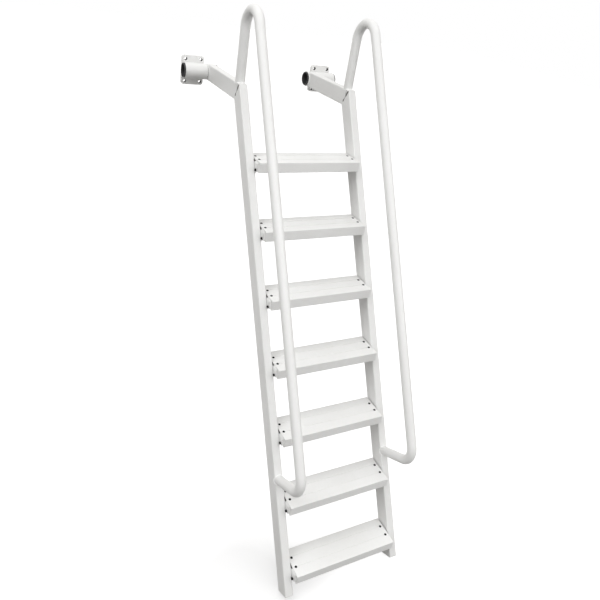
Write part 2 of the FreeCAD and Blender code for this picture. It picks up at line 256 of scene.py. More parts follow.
class StageSettings(bpy.types.PropertyGroup):
    """Camera place and lens, lamps, floor."""

    focal_pixels: bpy.props.FloatProperty(
        name="Focal length", description="Focal length in pixels of the photograph",
        default=568.596, min=1.0)
    centre_x: bpy.props.FloatProperty(
        name="Centre column", description="Column of the photograph that the lens axis meets",
        default=293.511)
    centre_y: bpy.props.FloatProperty(
        name="Centre row", description="Row of the photograph that the lens axis meets",
        default=263.306)
    place: place_property(
        "Camera place", "Camera from the left end of the top tread's nosing",
        (-0.97803, -2.09862, 0.74052))
    yaw: angle_property(
        "Yaw", "Turn of the camera to the right of the view into the dock", math.radians(30.098))
    pitch: angle_property(
        "Pitch", "Tilt of the camera, negative when it looks down", math.radians(-27.135))
    roll: angle_property("Roll", "Turn of the camera about its own axis", math.radians(9.404))
    floor_size: length_property("Floor size", "Side of the floor", 40.0, min=1.0)
    zenith: gain_property("Zenith", "Brightness that the studio gains towards straight above", 0.88)
    surround: gain_property("Surround", "Brightness of the studio in every direction", 0.05)
    right_wall: gain_property("Right wall", "Brightness that the studio gains to the right", 0.14)
    back_wall: gain_property("Back wall", "Brightness that the studio gains behind the ladder", 0.4)
    floor_bounce: share_property(
        "Floor bounce", "Share of the light that the floor throws back", 0.06)
    floor_lift: share_property(
        "Floor lift", "Light added to the far floor where the camera sees it", 0.8)
    near_lift: share_property(
        "Near lift", "The same round the ladder's foot, where its shadow shows", 0.47)
    shadow_aside: length_property(
        "Shadow aside", "How far left of the lowest tread the shadow's middle lies", 0.18)
    shadow_reach: length_property(
        "Shadow reach", "How far from the left foot the shadow shows", 0.17, min=0.0)
    lamp_aim: place_property(
        "Lamp aim", "What the lamps face, from the left end of the top tread's nosing",
        (0.25, -0.2, -0.4))
    lamp_size: length_property("Lamp size", "Side of each square lamp", 3.0, min=0.1)
    lamp_colour: colour_property(
        "Lamp colour", "Faintly cool light of the lamps", (0.98, 0.99, 1.0))
    front_place: place_property(
        "Front lamp", "Place of the front lamp from the same corner", (0.3, -2.5, 1.6))
    front_power: power_property("Front power", "Power of the front lamp", 33.0)
    left_place: place_property(
        "Left lamp", "Place of the high left lamp from the same corner", (-3.0, -0.5, 3.0))
    left_power: power_property("Left power", "Power of the high left lamp", 74.0)
    right_place: place_property(
        "Right lamp", "Place of the low right lamp from the same corner", (3.0, -3.5, 1.0))
    right_power: power_property("Right power", "Power of the low right lamp", 29.0)
    fill_place: place_property(
        "Fill lamp", "Place of the low left lamp from the same corner", (-2.0, -3.5, -1.0))
    fill_power: power_property("Fill power", "Power of the low left lamp", 25.0)


def deselect_all():
    if bpy.context.mode != "OBJECT":
        bpy.ops.object.mode_set(mode="OBJECT")
    bpy.ops.object.select_all(action="DESELECT")


def make_active(piece):
    """Select one object and nothing else."""
    deselect_all()
    piece.select_set(True)
    bpy.context.view_layer.objects.active = piece


def new_material(name):
    material = bpy.data.materials.new(name)
    material.use_nodes = True
    tree = material.node_tree
    tree.nodes.clear()
    output = tree.nodes.new("ShaderNodeOutputMaterial")
    shader = tree.nodes.new("ShaderNodeBsdfPrincipled")
    tree.links.new(shader.outputs["BSDF"], output.inputs["Surface"])
    return material, tree, shader


def coordinates(tree, kind="Object"):
    return tree.nodes.new("ShaderNodeTexCoord").outputs[kind]


def new_group(name, inputs, outputs):
    """A shader group; each input is (name, socket type, default) and each output (name, type)."""
    group = bpy.data.node_groups.new(name, "ShaderNodeTree")
    for label, kind, default in inputs:
        socket = group.interface.new_socket(name=label, in_out="INPUT", socket_type=kind)
        if default is not None:
            socket.default_value = default
    for label, kind in outputs:
        group.interface.new_socket(name=label, in_out="OUTPUT", socket_type=kind)
    entry = group.nodes.new("NodeGroupInput")
    leave = group.nodes.new("NodeGroupOutput")
    return group, entry, leave


def math_node(tree, operation, first, second=None):
    node = tree.nodes.new("ShaderNodeMath")
    node.operation = operation
    for socket, value in zip(node.inputs, (first, second)):
        if value is None:
            continue
        if isinstance(value, (int, float)):
            socket.default_value = value
        else:
            tree.links.new(value, socket)
    return node.outputs[0]


def noise_node(tree, vector, scale, detail):
    node = tree.nodes.new("ShaderNodeTexNoise")
    tree.links.new(vector, node.inputs["Vector"])
    if isinstance(scale, (int, float)):
        node.inputs["Scale"].default_value = scale
    else:
        tree.links.new(scale, node.inputs["Scale"])
    node.inputs["Detail"].default_value = detail
    return node.outputs["Fac"]


def orange_peel_group():
    """Height of sprayed powder: fine pebbles on long soft waves."""
    group, entry, leave = new_group(
        "Orange peel",
        [("Vector", "NodeSocketVector", None),
         ("Pebble scale", "NodeSocketFloat", 700.0),
         ("Wave scale", "NodeSocketFloat", 90.0),
         ("Wave share", "NodeSocketFloat", 0.35)],
        [("Height", "NodeSocketFloat")])
    pebbles = noise_node(group, entry.outputs["Vector"], entry.outputs["Pebble scale"], detail=1.0)
    waves = noise_node(group, entry.outputs["Vector"], entry.outputs["Wave scale"], detail=2.0)
    share = math_node(group, "MULTIPLY", waves, entry.outputs["Wave share"])
    height = math_node(group, "ADD", pebbles, share)
    group.links.new(height, leave.inputs["Height"])
    return group


def tone_drift_group():
    """Mask from 0 to 1 that drifts slowly over a surface, with a finer breakup."""
    group, entry, leave = new_group(
        "Tone drift",
        [("Vector", "NodeSocketVector", None),
         ("Drift scale", "NodeSocketFloat", 5.0),
         ("Breakup scale", "NodeSocketFloat", 60.0)],
        [("Mask", "NodeSocketFloat")])
    slow = noise_node(group, entry.outputs["Vector"], entry.outputs["Drift scale"], detail=3.0)
    fast = noise_node(group, entry.outputs["Vector"], entry.outputs["Breakup scale"], detail=4.0)
    mixed = math_node(group, "ADD", math_node(group, "MULTIPLY", slow, SLOW_SHARE),
                      math_node(group, "MULTIPLY", fast, 1.0 - SLOW_SHARE))
    ranged = map_range(group, mixed, DRIFT_EDGE, (0.0, 1.0))
    ranged.node.interpolation_type = "SMOOTHSTEP"
    group.links.new(ranged, leave.inputs["Mask"])
    return group


def shared_group(name, make):
    return bpy.data.node_groups.get(name) or make()


def place_group(tree, group, vector, values):
    node = tree.nodes.new("ShaderNodeGroup")
    node.node_tree = group
    tree.links.new(vector, node.inputs["Vector"])
    for label, value in values.items():
        node.inputs[label].default_value = value
    return node


def mix_colour(tree, mask, first, second):
    """Colour that goes from first to second with the mask; each is a colour or a socket."""
    node = tree.nodes.new("ShaderNodeMix")
    node.data_type = "RGBA"
    tree.links.new(mask, node.inputs["Factor"])
    for socket, value in ((node.inputs["A"], first), (node.inputs["B"], second)):
        if isinstance(value, bpy.types.NodeSocket):
            tree.links.new(value, socket)
        else:
            socket.default_value = (*value, 1.0)
    return node.outputs["Result"]


def map_range(tree, value, source, target):
    """Value carried from one range to another, held at both ends."""
    node = tree.nodes.new("ShaderNodeMapRange")
    node.clamp = True
    tree.links.new(value, node.inputs["Value"])
    for label, number in zip(("From Min", "From Max", "To Min", "To Max"), (*source, *target)):
        node.inputs[label].default_value = number
    return node.outputs["Result"]


def add_peel(tree, shader, vector, height, values):
    """Bump of the orange peel on the shader."""
    peel = place_group(tree, shared_group("Orange peel", orange_peel_group), vector, values)
    bump = tree.nodes.new("ShaderNodeBump")
    bump.inputs["Distance"].default_value = height
    bump.inputs["Strength"].default_value = 1.0
    tree.links.new(peel.outputs["Height"], bump.inputs["Height"])
    tree.links.new(bump.outputs["Normal"], shader.inputs["Normal"])


def drifting_base(name, first, second, drift_scale, breakup_scale):
    """New material with object coordinates, the drift's mask and a colour mixed with it."""
    material, tree, shader = new_material(name)
    vector = coordinates(tree)
    drift = place_group(tree, shared_group("Tone drift", tone_drift_group), vector,
                        {"Drift scale": drift_scale, "Breakup scale": breakup_scale})
    mask = drift.outputs["Mask"]
    return material, tree, shader, vector, mask, mix_colour(tree, mask, first, second)


def coat_base(name, settings):
    """Powder coat with its drift, roughness and peel; the colour socket is returned too."""
    material, tree, shader, vector, mask, colour = drifting_base(
        name, settings.colour, settings.shade, drift_scale=4.0, breakup_scale=45.0)
    add_peel(tree, shader, vector, settings.peel_height,
             {"Pebble scale": 650.0, "Wave scale": 80.0, "Wave share": 0.5})
    middle, spread = settings.roughness, settings.roughness_spread
    rough = map_range(tree, mask, (0.0, 1.0), (middle - spread, middle + spread))
    tree.links.new(rough, shader.inputs["Roughness"])
    return material, tree, shader, vector, colour


def coat_material(settings):
    material, tree, shader, _, colour = coat_base("white_powder_coat", settings)
    tree.links.new(colour, shader.inputs["Base Color"])
    return material


def split_xyz(tree, vector):
    node = tree.nodes.new("ShaderNodeSeparateXYZ")
    tree.links.new(vector, node.inputs["Vector"])
    return node.outputs


def away_from(tree, value, centre):
    """Distance of a coordinate from a plane across its axis."""
    return math_node(tree, "ABSOLUTE", math_node(tree, "SUBTRACT", value, centre))


def flat_distance(tree, first, second):
    """Length of the two offsets together."""
    squares = math_node(tree, "ADD", math_node(tree, "MULTIPLY", first, first),
                        math_node(tree, "MULTIPLY", second, second))
    return math_node(tree, "SQRT", squares)


def tread_setback(tree, vector):
    """Distance of a point behind the nosing of the tread that it belongs to."""
    axes = split_xyz(tree, vector)
    rise = (TOP_TREAD[1].z - LOW_TREAD[1].z) / (len(TREADS) - 1)
    below = math_node(tree, "SUBTRACT", TOP_TREAD[1].z + TREAD_REACH * rise, axes["Z"])
    count = math_node(tree, "FLOOR", math_node(tree, "DIVIDE", below, rise))
    behind_top = math_node(tree, "SUBTRACT", axes["Y"], TOP_TREAD[0].y)
    lower = math_node(tree, "MULTIPLY", count, rise * math.tan(LEAN))
    return math_node(tree, "ADD", behind_top, lower)


def cleat_material(settings, side):
    """Powder coat with painted shade on the edge that faces up in the gap beside a tread."""
    material, tree, shader, vector, colour = coat_base(side + "_cleat_coat", settings)
    facing = split_xyz(tree, coordinates(tree, "Normal"))
    # Painted shade on the faces that look up into the gap
    painted_shade = map_range(tree, facing["Z"], GAP_SHADE_FACING, (0.0, 1.0))
    if side == "left":
        inner = map_range(tree, tread_setback(tree, vector), LEFT_GAP_START, (0.0, 1.0))
        painted_shade = math_node(tree, "MULTIPLY", painted_shade, inner)
    mixed = mix_colour(tree, painted_shade, colour, settings.painted_shade_colour)
    tree.links.new(mixed, shader.inputs["Base Color"])
    rough = map_range(tree, painted_shade, (0.0, 1.0), (settings.roughness, 1.0))
    tree.links.new(rough, shader.inputs["Roughness"])
    return material


def tread_material(settings):
    """Powder coat, darkened with painted shade towards the back edge."""
    material, tree, shader, vector, colour = coat_base("tread_coat", settings)
    # Painted shade that grows towards the tread's back edge
    rear_shade = map_range(tree, tread_setback(tree, vector), REAR_SHADE_PART, (0.0, settings.rear_shade_share))
    mixed = mix_colour(tree, rear_shade, colour, settings.painted_shade_colour)
    tree.links.new(mixed, shader.inputs["Base Color"])
    return material


def bracket_material(settings, side):
    """Powder coat outside, with near-black painted shade inside the four bolt holes and in a thin
    ring round them.
    """
    material, tree, shader, vector, colour = coat_base(side + "_bracket_coat", settings)
    low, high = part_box(side + "_bracket")
    middle = (low + high) / 2
    axes = split_xyz(tree, vector)
    across = away_from(tree, away_from(tree, axes["X"], middle.x), settings.hole_spacing[0] / 2)
    upward = away_from(tree, away_from(tree, axes["Z"], middle.z), settings.hole_spacing[1] / 2)
    # Painted shade reaches a little beyond each hole's edge
    edge = [settings.hole_radius + beyond for beyond in HOLE_SHADE_EDGE]
    outside = map_range(tree, flat_distance(tree, across, upward), edge, (0.0, 1.0))
    mixed = mix_colour(tree, outside, settings.hole_shade_colour, colour)
    tree.links.new(mixed, shader.inputs["Base Color"])
    rough = map_range(tree, outside, (0.0, 1.0), (1.0, settings.roughness))
    tree.links.new(rough, shader.inputs["Roughness"])
    return material


def mitre_corner():
    """Highest front point where stringer and arm meet."""
    return Vector((0.0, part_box("left_arm")[0].y, ARM_TOP))


def profile_node(tree, value, stops):
    """Value read along a row of stops, each a place from 0 to 1 and a level."""
    ramp = tree.nodes.new("ShaderNodeValToRGB")
    places = ramp.color_ramp.elements
    while len(places) < len(stops):
        places.new(0.5)
    for place, (at, level) in zip(places, stops):
        place.position = at
        place.color = (level, level, level, 1.0)
    tree.links.new(value, ramp.inputs["Fac"])
    return ramp.outputs["Color"]


def seam_group():
    """Mask of a dark line along a plane, with a crack that runs into it from the arm's side."""
    group, entry, leave = new_group(
        "Mitre seam",
        [("Vector", "NodeSocketVector", None),
         ("Distance", "NodeSocketFloat", 0.0),
         ("Along", "NodeSocketFloat", 0.0),
         ("Side facing", "NodeSocketFloat", 0.0),
         ("Width", "NodeSocketFloat", 0.003),
         ("Crack slope", "NodeSocketFloat", 0.06)],
        [("Mask", "NodeSocketFloat")])
    distance, along = entry.outputs["Distance"], entry.outputs["Along"]
    wander = noise_node(group, entry.outputs["Vector"], SEAM_WANDER_SCALE, detail=2.0)
    shift = math_node(group, "MULTIPLY", math_node(group, "SUBTRACT", wander, 0.5), SEAM_WANDER)
    seam = math_node(group, "ADD", distance, shift)
    lead = math_node(group, "MULTIPLY", math_node(group, "SUBTRACT", CRACK_END, along),
                     entry.outputs["Crack slope"])
    lines = []
    crack = math_node(group, "SUBTRACT", seam, lead)
    for offset, stops in ((seam, SEAM_STOPS), (crack, CRACK_STOPS)):
        half = math_node(group, "MULTIPLY", profile_node(group, along, stops),
                         math_node(group, "MULTIPLY", entry.outputs["Width"], 0.5))
        ratio = math_node(group, "DIVIDE", math_node(group, "ABSOLUTE", offset),
                          math_node(group, "MAXIMUM", half, LEAST_HALF_WIDTH))
        lines.append(map_range(group, ratio, SEAM_EDGE, (1.0, 0.0)))
    faced = map_range(group, entry.outputs["Side facing"], SIDE_FACING, (0.0, 1.0))
    both = math_node(group, "MAXIMUM", lines[0], lines[1])
    group.links.new(math_node(group, "MULTIPLY", both, faced), leave.inputs["Mask"])
    return group


def mitred_material(settings, weld):
    """Powder coat with the dark line of the mitre on the tube's side faces."""
    material, tree, shader, vector, colour = coat_base("mitred_tube_coat", settings)
    corner = mitre_corner()
    normal = Vector((0.0, math.sin(LEAN) + 1.0, math.cos(LEAN))).normalized()
    along = Vector((0.0, normal.z, -normal.y))
    length = TUBE_DEPTH / math.cos(math.atan2(normal.z, normal.y))
    moved = tree.nodes.new("ShaderNodeVectorMath")
    moved.operation = "SUBTRACT"
    moved.inputs[1].default_value = corner
    tree.links.new(vector, moved.inputs[0])
    reach = []
    for direction in (normal, along / length):
        dot = tree.nodes.new("ShaderNodeVectorMath")
        dot.operation = "DOT_PRODUCT"
        dot.inputs[1].default_value = direction
        tree.links.new(moved.outputs[0], dot.inputs[0])
        reach.append(dot.outputs["Value"])
    facing = split_xyz(tree, coordinates(tree, "Normal"))
    sideways = math_node(tree, "ABSOLUTE", facing["X"])
    seam = place_group(tree, shared_group("Mitre seam", seam_group), vector,
                       {"Width": weld.seam_width})
    for label, socket in (("Distance", reach[0]), ("Along", reach[1]), ("Side facing", sideways)):
        tree.links.new(socket, seam.inputs[label])
    mixed = mix_colour(tree, seam.outputs["Mask"], colour, weld.seam_colour)
    tree.links.new(mixed, shader.inputs["Base Color"])
    return material


def nylon_material(name, nylon_colour):
    """Black nylon with paler scuffed patches."""
    scuffed = tuple(min(1.0, NYLON_SCUFF * value) for value in nylon_colour)
    material, tree, shader, vector, mask, colour = drifting_base(
        name, nylon_colour, scuffed, drift_scale=25.0, breakup_scale=250.0)
    tree.links.new(colour, shader.inputs["Base Color"])
    tree.links.new(map_range(tree, mask, (0.0, 1.0), (0.5, 0.65)), shader.inputs["Roughness"])
    shader.inputs["Specular IOR Level"].default_value = 0.25
    add_peel(tree, shader, vector, 0.04 * MM,
             {"Pebble scale": 2000.0, "Wave scale": 400.0, "Wave share": 0.3})
    return material


def steel_material(settings):
    """Blackened steel with brighter rubbed patches."""
    rubbed = tuple(min(1.0, STEEL_RUB * value) for value in settings.colour)
    material, tree, shader, _, mask, colour = drifting_base(
        "fastener_steel", settings.colour, rubbed, drift_scale=60.0, breakup_scale=600.0)
    tree.links.new(colour, shader.inputs["Base Color"])
    tree.links.new(map_range(tree, mask, (0.0, 1.0), (0.7, 0.85)), shader.inputs["Roughness"])
    shader.inputs["Specular IOR Level"].default_value = 0.15
    return material


def plastic_material(settings):
    """White plastic with faintly darker patches."""
    shade = tuple(PLASTIC_SHADE * value for value in settings.cap_colour)
    material, tree, shader, vector, _, colour = drifting_base(
        "white_plastic", settings.cap_colour, shade, drift_scale=30.0, breakup_scale=200.0)
    tree.links.new(colour, shader.inputs["Base Color"])
    shader.inputs["Roughness"].default_value = 0.55
    add_peel(tree, shader, vector, 0.05 * MM,
             {"Pebble scale": 1500.0, "Wave scale": 300.0, "Wave share": 0.3})
    return material


def dress(name, material):
    """Give a CAD node one material over its whole surface."""
    mesh = NODES[name].data
    mesh.materials.clear()
    mesh.materials.append(material)


def pick_faces(piece, test):
    """Enter edit mode with only the faces selected whose centre and normal pass the test."""
    bpy.ops.object.mode_set(mode="EDIT")
    bpy.context.tool_settings.mesh_select_mode = (False, False, True)
    bpy.ops.mesh.select_all(action="DESELECT")
    bpy.ops.object.mode_set(mode="OBJECT")
    for face in piece.data.polygons:
        face.select = test(face.center, face.normal)
    bpy.ops.object.mode_set(mode="EDIT")


def leave_edit(piece, angle=SMOOTHING):
    bpy.ops.object.mode_set(mode="OBJECT")
    bpy.ops.object.shade_smooth_by_angle(angle=math.radians(angle))
    return piece


def extrude_by(drop):
    bpy.ops.mesh.extrude_region_move(TRANSFORM_OT_translate={"value": (0.0, 0.0, drop)})


def faces_up(centre, normal):
    return normal.z > LEVEL_FACE


def faces_down(centre, normal):
    return normal.z < -LEVEL_FACE


def faces_level(centre, normal):
    return abs(normal.z) > LEVEL_FACE


def start_cylinder(name, vertices, radius, low, high):
    deselect_all()
    bpy.ops.mesh.primitive_cylinder_add(vertices=vertices, radius=radius, depth=high - low,
                                        location=(0.0, 0.0, (low + high) / 2))
    piece = bpy.context.active_object
    piece.name = name
    bpy.ops.object.transform_apply(location=True, rotation=True, scale=True)
    return piece


def hex_radius(settings):
    return settings.across_flats / math.sqrt(3.0)


def make_washer(settings, low):
    washer = start_cylinder("washer", ROUND_SIDES, settings.washer_radius, low,
                            low + settings.washer_thickness)
    pick_faces(washer, faces_level)
    bpy.ops.mesh.bevel(offset=WASHER_BEVEL, segments=1, affect="EDGES")
    return leave_edit(washer)


def join_into(piece, other):
    make_active(piece)
    other.select_set(True)
    bpy.ops.object.join()
    return piece


def make_screw(settings):
    """Screw with a low round head and a hex socket, resting on z 0, its cone and shank below."""
    top = settings.head_height
    screw = start_cylinder("screw", ROUND_SIDES, settings.head_radius, HEAD_LIFT, top)
    pick_faces(screw, faces_up)
    bpy.ops.mesh.bevel(offset=HEAD_ROUNDING * top, segments=2, affect="EDGES")
    pick_faces(screw, faces_down)
    bpy.ops.mesh.inset(thickness=settings.head_radius - settings.cone_radius)
    extrude_by(settings.screw_radius - settings.cone_radius)
    narrow = settings.screw_radius / settings.cone_radius
    bpy.ops.transform.resize(value=(narrow, narrow, 1.0))
    extrude_by(-SHANK_LENGTH)
    bpy.ops.mesh.bevel(offset=SHANK_BEVEL, segments=1, affect="EDGES")
    bpy.ops.object.mode_set(mode="OBJECT")
    socket = start_cylinder("socket", 6, SOCKET_RADIUS, top - SOCKET_DEPTH, top + SOCKET_OVERCUT)
    make_active(screw)
    carve = screw.modifiers.new("socket", "BOOLEAN")
    carve.operation = "DIFFERENCE"
    carve.object = socket
    bpy.ops.object.modifier_apply(modifier=carve.name)
    bpy.data.objects.remove(socket)
    return leave_edit(screw)


def make_nut(settings):
    """Locking nut with its washer, hanging below z 0."""
    washer = make_washer(settings, -settings.washer_thickness)
    top = -settings.washer_thickness
    nut = start_cylinder("nut", 6, hex_radius(settings), top - NUT_HEIGHT, top)
    pick_faces(nut, faces_level)
    bpy.ops.mesh.bevel(offset=NUT_BEVEL, segments=1, affect="EDGES")
    pick_faces(nut, faces_down)
    bpy.ops.mesh.inset(thickness=COLLAR_INSET)
    extrude_by(-COLLAR_HEIGHT)
    leave_edit(nut)
    return join_into(nut, washer)


def make_bolt(settings):
    """Hex bolt with its washer, seated on z 0 with its shank below."""
    washer = make_washer(settings, 0.0)
    low = settings.washer_thickness
    radius = hex_radius(settings)
    bolt = start_cylinder("bolt", 6, radius, low, low + BOLT_HEAD_HEIGHT)
    pick_faces(bolt, faces_up)
    bpy.ops.mesh.bevel(offset=BOLT_HEAD_BEVEL, segments=2, affect="EDGES")
    pick_faces(bolt, faces_down)
    bpy.ops.mesh.inset(thickness=radius * math.cos(math.pi / 6) - settings.bolt_radius)
    extrude_by(-SHANK_LENGTH)
    bpy.ops.mesh.bevel(offset=SHANK_BEVEL, segments=1, affect="EDGES")
    leave_edit(bolt)
    return join_into(bolt, washer)


def place_copy(master, name, place, turn, material):
    """Copy a finished piece with its own mesh, turn it, and put its place into the mesh."""
    piece = master.copy()
    piece.data = master.data.copy()
    piece.name = name
    bpy.context.scene.collection.objects.link(piece)
    piece.rotation_euler = turn
    piece.location = place
    make_active(piece)
    bpy.ops.object.transform_apply(location=True, rotation=True, scale=True)
    finish_piece(piece, material)


def finish_piece(piece, material, body="ladder"):
    piece.data.materials.clear()
    piece.data.materials.append(material)
    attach(piece, body)


def tread_corner(name, side):
    """Top of the nosing at a tread's left or right end, and the direction in from that end."""
    low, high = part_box(name)
    if side == "left":
        return Vector((low.x, low.y, high.z)), 1.0
    return Vector((high.x, low.y, high.z)), -1.0


class LADDER_OT_screws(bpy.types.Operator):
    """Screw each tread down to its two cleats, with washers and locking nuts"""
    bl_idname = "ladder.screws"
    bl_label = "Fit the tread screws"

    def execute(self, context):
        settings = context.scene.ladder_fasteners
        steel = steel_material(settings)
        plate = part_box(TREADS[0])[1].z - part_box(CLEATS[0])[1].z
        screw = make_screw(settings)
        nut = make_nut(settings)
        for tread in TREADS:
            for side in SIDES:
                corner, inward = tread_corner(tread, side)
                for index, setback in enumerate(settings.screw_setbacks):
                    label = f"{tread}_{side}_{index + 1}"
                    place = corner + Vector((inward * settings.screw_inset, setback, 0.0))
                    spin = TURN_PER_SCREW * index + TURN_PER_TREAD * TREADS.index(tread)
                    turn = (0.0, 0.0, spin)
                    place_copy(screw, "screw_" + label, place, turn, steel)
                    under = place - Vector((0.0, 0.0, plate + settings.cleat_thickness))
                    place_copy(nut, "nut_" + label, under, turn, steel)
        for master in (screw, nut):
            bpy.data.objects.remove(master)
        return {"FINISHED"}


class LADDER_OT_bolts(bpy.types.Operator):
    """Bolt each cleat's leg to its stringer"""
    bl_idname = "ladder.bolts"
    bl_label = "Fit the cleat bolts"

    def execute(self, context):
        settings = context.scene.ladder_fasteners
        steel = bpy.data.materials["fastener_steel"]
        bolt = make_bolt(settings)
        for tread in TREADS:
            for side in SIDES:
                corner, inward = tread_corner(tread, side)
                leg_face = inner_face(side) + inward * settings.cleat_thickness
                for index, setback in enumerate(settings.bolt_setbacks):
                    place = Vector((leg_face, corner.y + setback, corner.z - settings.bolt_drop))
                    turn = (0.0, inward * math.pi / 2, 0.0)
                    place_copy(bolt, f"bolt_{tread}_{side}_{index + 1}", place, turn, steel)
        bpy.data.objects.remove(bolt)
        return {"FINISHED"}


def inner_face(side):
    """X of the face that a side's stringer and arm turn to the treads."""
    low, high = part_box(side + "_arm")
    return high.x if side == "left" else low.x


def make_rail_bead(settings):
    """Bead round a pipe's foot on the tube's flat face, let down over its rounded corners."""
    deselect_all()
    ring = RAIL_RADIUS + RAIL_BEAD_OUT * settings.bead_radius
    bpy.ops.mesh.primitive_torus_add(major_segments=RAIL_BEAD_SECTIONS, minor_segments=BEAD_SIDES,
                                     major_radius=ring,
                                     minor_radius=settings.bead_radius)
    bead = bpy.context.active_object
    bead.name = "rail_bead"
    flat = TUBE_WIDTH / 2 - settings.corner_radius
    bpy.ops.object.mode_set(mode="EDIT")
    bpy.context.tool_settings.mesh_select_mode = (True, False, False)
    for step in range(RAIL_BEAD_SECTIONS):
        angle = 2 * math.pi * step / RAIL_BEAD_SECTIONS
        across = abs(RAIL_RADIUS * math.cos(angle))
        over = min(max(across - flat, 0.0), settings.corner_radius)
        drop = settings.corner_radius - math.sqrt(settings.corner_radius ** 2 - over ** 2)
        bpy.ops.mesh.select_all(action="DESELECT")
        bpy.ops.object.mode_set(mode="OBJECT")
        for vertex in bead.data.vertices:
            ahead = math.atan2(vertex.co.y, vertex.co.x) - angle
            turn = (ahead + math.pi) % (2 * math.pi) - math.pi
            vertex.select = abs(turn) < math.pi / RAIL_BEAD_SECTIONS
        bpy.ops.object.mode_set(mode="EDIT")
        bpy.ops.transform.translate(value=(0.0, 0.0, -drop))
        if step % 2:
            bpy.ops.transform.shrink_fatten(value=-RAIL_BEAD_RIPPLE * settings.bead_radius)
    return leave_edit(bead, BEAD_SMOOTHING)


def make_boss_bead(settings):
    """Front half of a bead round the arm's boss, standing about the X axis."""
    deselect_all()
    ring = BOSS_RADIUS + BOSS_BEAD_OUT * settings.bead_radius
    bpy.ops.mesh.primitive_torus_add(major_segments=BOSS_BEAD_SECTIONS, minor_segments=BEAD_SIDES,
                                     major_radius=ring,
                                     minor_radius=settings.bead_radius,
                                     rotation=(0.0, math.pi / 2, 0.0))
    bead = bpy.context.active_object
    bead.name = "boss_bead"
    bpy.ops.object.transform_apply(location=True, rotation=True, scale=True)
    bpy.ops.object.mode_set(mode="EDIT")
    bpy.ops.mesh.select_all(action="SELECT")
    bpy.ops.mesh.bisect(plane_co=(0.0, BOSS_BEAD_CUT, 0.0), plane_no=(0.0, 1.0, 0.0),
                        use_fill=True, clear_outer=True)
    return leave_edit(bead, BEAD_SMOOTHING)


class LADDER_OT_welds(bpy.types.Operator):
    """Lay weld beads at both ends of each handrail and round each arm's boss"""
    bl_idname = "ladder.welds"
    bl_label = "Lay the weld beads"

    def execute(self, context):
        settings = context.scene.ladder_welds
        coat = bpy.data.materials["white_powder_coat"]
        rail_bead = make_rail_bead(settings)
        boss_bead = make_boss_bead(settings)
        for side in SIDES:
            low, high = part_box(side + "_handrail")
            centre_x = (low.x + high.x) / 2
            post = Vector((centre_x, high.y - RAIL_RADIUS, ARM_TOP))
            place_copy(rail_bead, side + "_post_bead", post, (0.0, 0.0, 0.0), coat)
            foot = rail_foot(side)
            tilt = (math.pi / 2 - LEAN, 0.0, 0.0)
            place_copy(rail_bead, side + "_return_bead", foot, tilt, coat)
            boss = Vector((inner_face(side), PIVOT.y, PIVOT.z))
            place_copy(boss_bead, side + "_boss_bead", boss, (0.0, 0.0, 0.0), coat)
        for master in (rail_bead, boss_bead):
            bpy.data.objects.remove(master)
        return {"FINISHED"}


def rail_foot(side):
    """Where the handrail's lower end meets the stringer's front face."""
    low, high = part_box(side + "_handrail")
    foot = Vector(((low.x + high.x) / 2, 0.0, low.z + RAIL_RADIUS * math.cos(LEAN)))
    front = mitre_corner().dot(INTO_STRINGER)
    foot.y = (front - foot.dot(INTO_STRINGER)) / INTO_STRINGER.y
    return foot


class LADDER_OT_coat(bpy.types.Operator):
    """Coat the frame, treads and brackets, and colour the sleeves, spacers and foot caps"""
    bl_idname = "ladder.coat"
    bl_label = "Coat the ladder"

    def execute(self, context):
        settings = context.scene.ladder_coat
        coat = coat_material(settings)
        mitred = mitred_material(settings, context.scene.ladder_welds)
        tread = tread_material(settings)
        cleats = {side: cleat_material(settings, side) for side in SIDES}
        plastic = plastic_material(settings)
        sleeve = nylon_material("sleeve_nylon", settings.sleeve_colour)
        button = nylon_material("button_nylon", settings.button_colour)
        for side in SIDES:
            dress(side + "_bracket", bracket_material(settings, side))
        for name in NODES:
            if name.endswith(("_arm", "_stringer")):
                dress(name, mitred)
            elif name.endswith("_foot_cap"):
                dress(name, plastic)
            elif name.endswith("_pivot_sleeve"):
                dress(name, sleeve)
            elif name.endswith("_spacers"):
                dress(name, button)
            elif name in TREADS:
                dress(name, tread)
            elif name in CLEATS:
                dress(name, cleats[name.split("_")[0]])
            elif not name.endswith("_bracket"):
                dress(name, coat)
        return {"FINISHED"}


def camera_axes(settings):
    yaw, pitch, roll = settings.yaw, settings.pitch, settings.roll
    forward = Vector((math.sin(yaw) * math.cos(pitch), math.cos(yaw) * math.cos(pitch),
                      math.sin(pitch)))
    level = Vector((math.cos(yaw), -math.sin(yaw), 0.0))
    above = level.cross(forward)
    right = math.cos(roll) * level + math.sin(roll) * above
    up = -math.sin(roll) * level + math.cos(roll) * above
    return right, up, forward


def make_camera(settings):
    data = bpy.data.cameras.new("photo_camera")
    data.sensor_width = SENSOR_WIDTH
    data.lens = settings.focal_pixels * SENSOR_WIDTH / PHOTO_SIDE
    data.shift_x = (PHOTO_SIDE / 2 - settings.centre_x) / PHOTO_SIDE
    data.shift_y = (settings.centre_y - PHOTO_SIDE / 2) / PHOTO_SIDE
    data.clip_end = CAMERA_REACH
    camera = bpy.data.objects.new("photo_camera", data)
    bpy.context.scene.collection.objects.link(camera)
    right, up, forward = camera_axes(settings)
    turn = Matrix((right, up, -forward)).transposed()
    camera.matrix_world = Matrix.Translation(TOP_CORNER + Vector(settings.place)) @ turn.to_4x4()
    bpy.context.scene.camera = camera


